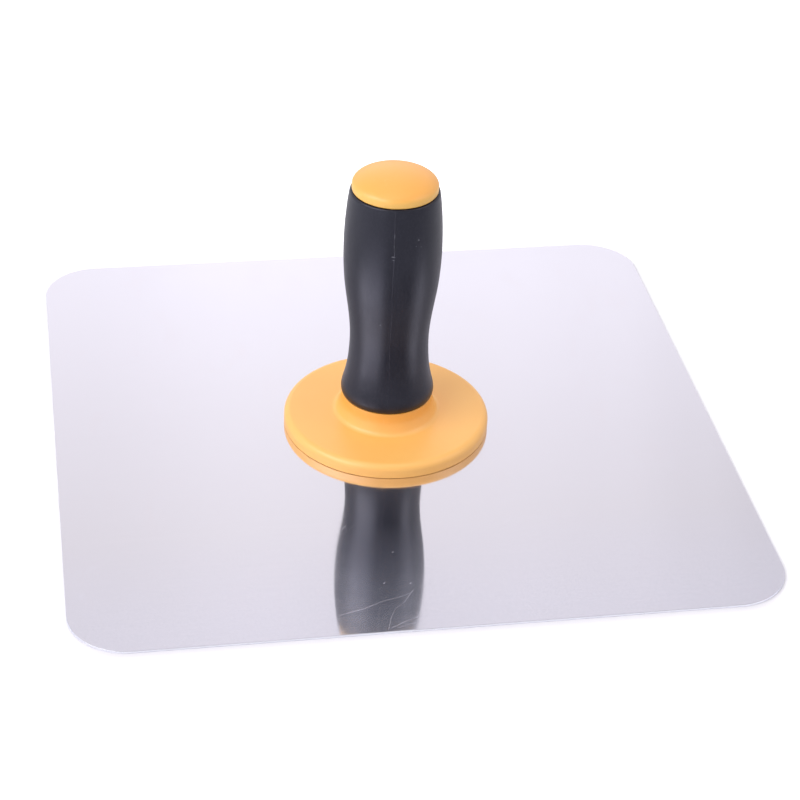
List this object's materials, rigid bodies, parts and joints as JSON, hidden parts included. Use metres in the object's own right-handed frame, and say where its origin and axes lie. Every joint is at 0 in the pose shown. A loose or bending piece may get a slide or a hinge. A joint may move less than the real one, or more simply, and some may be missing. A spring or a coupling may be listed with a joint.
{
  "type": "plasterer's hawk",
  "caption": "Square flat sheet-metal plate on a short upright grip with a wide round flange; carries mortar in one hand. The handle unscrews.",
  "frame": {"origin": "centre of the plate's flat working face, on the side away from the handle", "axes": "+Z along the handle, from the plate towards the end cap; +X and +Y parallel to the plate's sides"},
  "size_m": [0.3, 0.3, 0.129],
  "materials": {
    "sheet_metal": "bright rolled stainless sheet, faint rolling streaks and light scratches",
    "zinc_steel": "zinc plated, satin",
    "insert_brass": "machined",
    "gasket_rubber": "matt",
    "yellow_plastic": "satin moulded, warm yellow",
    "black_grip": "satin soft-touch rubber"
  },
  "bodies": {
    "plate": {"blade_plate": "sheet_metal", "stud_screw": "zinc_steel", "backing_disc": "zinc_steel", "spring_washer": "zinc_steel", "lock_nut": "zinc_steel"},
    "gasket": {"flange_gasket": "gasket_rubber"},
    "handle": {"handle_core": "yellow_plastic", "threaded_insert": "insert_brass", "grip_sleeve": "black_grip", "end_cap": "yellow_plastic"}
  },
  "joints": [
    {"name": "handle_turn", "type": "hinge", "parent": "plate", "child": "gasket", "pos_m": [0, 0, 0.00145], "axis": [0, 0, 1], "range_deg": [0, 3600]},
    {"name": "handle_rise", "type": "slide", "parent": "gasket", "child": "handle", "axis": [0, 0, 1], "range_m": [0, 0.015]}
  ],
  "couplings": [
    {"joint": "handle_rise", "follows": "handle_turn", "m_per_rad": 0.00023873}
  ]
}
